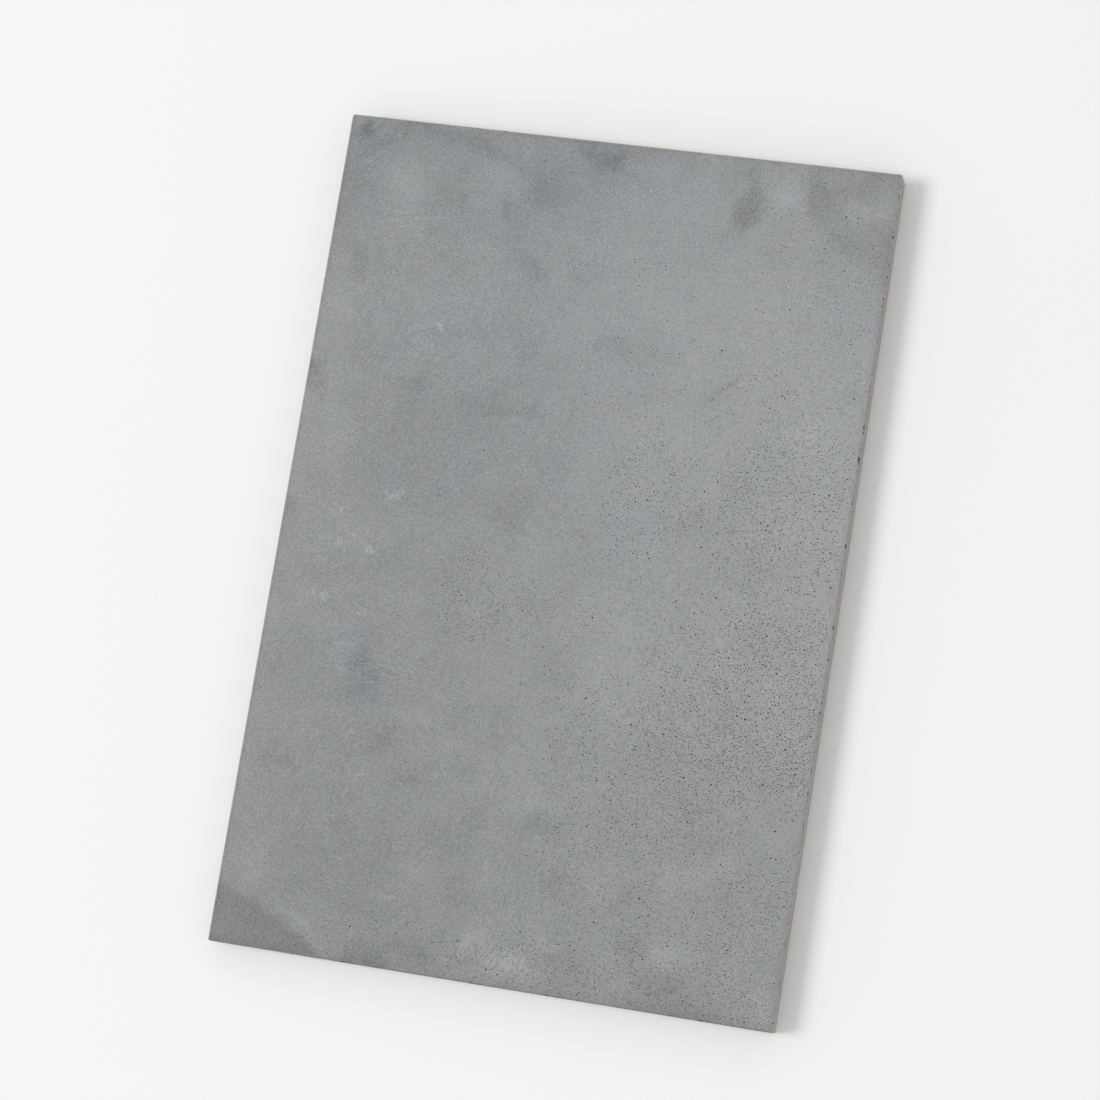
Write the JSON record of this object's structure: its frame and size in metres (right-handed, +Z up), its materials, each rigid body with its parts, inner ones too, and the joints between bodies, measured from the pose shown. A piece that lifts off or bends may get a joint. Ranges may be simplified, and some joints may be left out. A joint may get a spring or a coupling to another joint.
{
  "type": "sharpening whetstone",
  "caption": "Thin rectangular bench whetstone, a bare slab of blue-grey natural stone lapped flat for sharpening carving knives and edge tools.",
  "frame": {"origin": "middle of the base face, on the surface that the stone lies on", "axes": "+X across the slab, +Y along its length, +Z up through the working face"},
  "size_m": [0.15, 0.225, 0.008],
  "materials": {
    "hone_stone": "matte, fine-grained, lapped"
  },
  "bodies": {
    "root": {"stone_slab": "hone_stone"}
  },
  "joints": []
}
